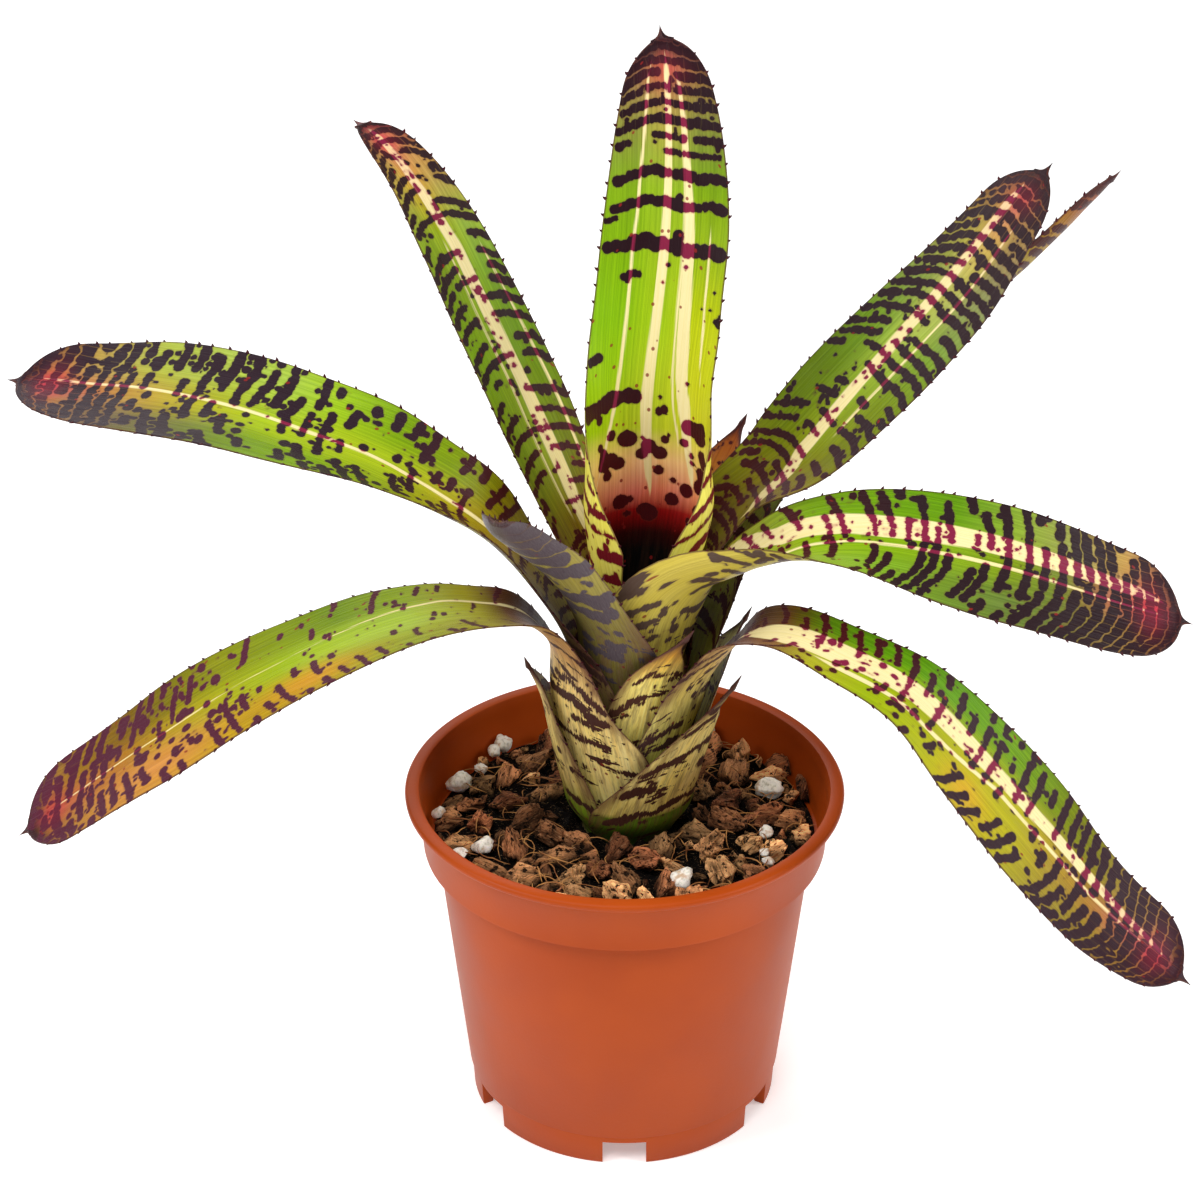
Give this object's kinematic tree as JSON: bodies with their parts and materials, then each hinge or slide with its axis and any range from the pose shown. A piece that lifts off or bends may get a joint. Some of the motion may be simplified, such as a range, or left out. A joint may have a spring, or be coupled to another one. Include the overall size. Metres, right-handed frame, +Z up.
{
  "type": "potted neoregelia bromeliad",
  "caption": "Potted bromeliad: a funnel of arching strap leaves with toothed margins and dark cross bands, growing from bark mix in a round plastic nursery pot.",
  "frame": {"origin": "under the middle of the whole plant's outline seen from above, on the plane the pot stands on", "axes": "+Z up, +X along the longest spread of the leaves, front of the plant towards -Y"},
  "size_m": [0.3688, 0.1952, 0.3412],
  "materials": {
    "pot": "satin terracotta-coloured plastic",
    "bark": "rough broken bark with fibres",
    "stem": "rough",
    "leaf": "satin green with dark purple cross bands",
    "dry_leaf": "dry, brown at the tip"
  },
  "bodies": {
    "root": {"pot": "pot", "bark_mix": "bark", "stem": "stem", "leaf_centre_back": "leaf", "leaf_left_back": "leaf", "leaf_right_back": "leaf", "leaf_right": "leaf", "leaf_front": "leaf", "leaf_far_right": "leaf", "leaf_left": "leaf", "leaf_short_front": "leaf", "leaf_short_back": "dry_leaf", "leaf_right_front": "leaf", "leaf_left_front": "leaf", "leaf_short_right": "leaf", "sheath_left": "leaf", "sheath_right": "leaf"}
  },
  "joints": []
}
